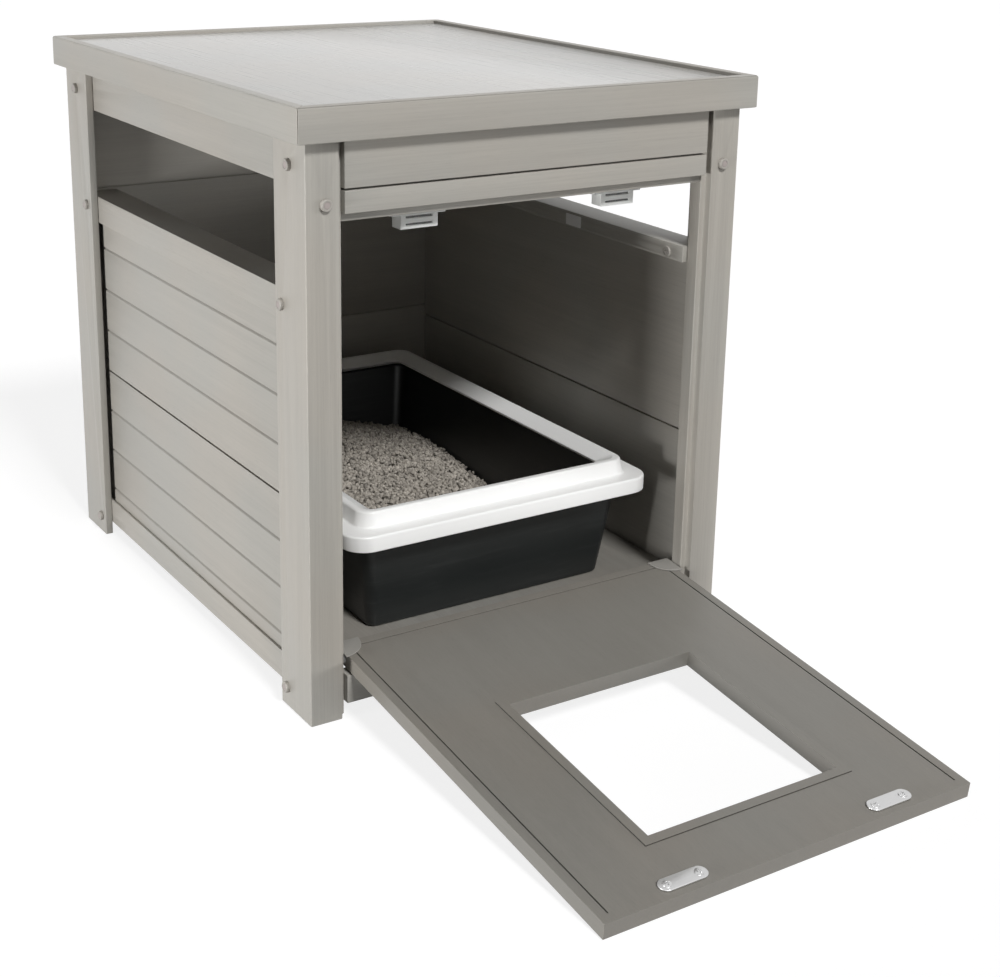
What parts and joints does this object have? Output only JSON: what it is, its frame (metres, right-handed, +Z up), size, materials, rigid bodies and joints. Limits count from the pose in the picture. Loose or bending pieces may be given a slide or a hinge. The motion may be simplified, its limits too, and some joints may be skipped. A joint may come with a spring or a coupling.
{
  "type": "cat litter box cabinet",
  "caption": "Box-shaped litter pan cabinet with plank sides, window slots, a lid and a drop-down front door with a cat opening, holding a rimmed pan of litter.",
  "frame": {"origin": "middle of the whole part's footprint on the floor, the opened door included", "axes": "+Z up, -Y towards the door's side, the front; X across the cabinet"},
  "size_m": [0.485, 0.9684, 0.559],
  "materials": {
    "composite": "warm grey wood and plastic composite with fine lengthwise streaks",
    "top_composite": "the same composite, satin, with fine streaks from front to back",
    "door_composite": "darker warm grey composite",
    "bolt_cap": "slightly pinkish grey plastic",
    "satin_metal": "satin zinc plated steel",
    "hinge_plastic": "grey plastic",
    "catch_plastic": "white plastic",
    "pan_plastic": "black plastic, lightly scuffed",
    "rim_plastic": "white plastic",
    "litter": "grey-beige clay granules"
  },
  "bodies": {
    "cabinet": {"front_left_post": "composite", "front_right_post": "composite", "back_left_post": "composite", "back_right_post": "composite", "left_top_rail": "composite", "left_sill_rail": "composite", "left_bottom_rail": "composite", "left_upper_board": "composite", "left_lower_board": "composite", "right_top_rail": "composite", "right_sill_rail": "composite", "right_bottom_rail": "composite", "right_upper_board": "composite", "right_lower_board": "composite", "front_apron": "composite", "front_lower_rail": "composite", "front_bottom_rail": "composite", "back_top_rail": "composite", "back_bottom_rail": "composite", "back_lower_board": "composite", "back_middle_board": "composite", "back_upper_board": "composite", "floor_panel": "composite", "top_panel": "top_composite", "lid_front_trim": "composite", "lid_back_trim": "composite", "lid_left_trim": "composite", "lid_right_trim": "composite", "left_bolt_front_top": "bolt_cap", "left_bolt_front_sill": "bolt_cap", "left_bolt_front_bottom": "bolt_cap", "left_bolt_back_top": "bolt_cap", "left_bolt_back_sill": "bolt_cap", "left_bolt_back_bottom": "bolt_cap", "left_bolt_front_rail": "bolt_cap", "left_nut_front_sill": "bolt_cap", "left_nut_back_sill": "bolt_cap", "right_bolt_front_top": "bolt_cap", "right_bolt_front_sill": "bolt_cap", "right_bolt_front_bottom": "bolt_cap", "right_bolt_back_top": "bolt_cap", "right_bolt_back_sill": "bolt_cap", "right_bolt_back_bottom": "bolt_cap", "right_bolt_front_rail": "bolt_cap", "right_nut_front_sill": "bolt_cap", "right_nut_back_sill": "bolt_cap", "left_magnetic_catch": "catch_plastic", "right_magnetic_catch": "catch_plastic"},
    "door": {"door_panel": "door_composite", "door_hole_frame": "door_composite", "door_left_corner_cap": "hinge_plastic", "door_right_corner_cap": "hinge_plastic", "door_left_hinge_pin": "satin_metal", "door_right_hinge_pin": "satin_metal", "door_left_strike": "satin_metal", "door_right_strike": "satin_metal"},
    "pan": {"litter_pan": "pan_plastic", "litter": "litter"},
    "rim": {"pan_rim": "rim_plastic"}
  },
  "joints": [
    {"name": "door_hinge", "type": "hinge", "parent": "cabinet", "child": "door", "pos_m": [0, -0.08183, 0.0515], "axis": [-1, 0, 0], "range_deg": [0, 96.29]},
    {"name": "pan_lift", "type": "slide", "parent": "cabinet", "child": "pan", "axis": [0, 0, 1], "range_m": [0, 0.1]},
    {"name": "rim_lift", "type": "slide", "parent": "pan", "child": "rim", "axis": [0, 0, 1], "range_m": [0, 0.08]}
  ]
}
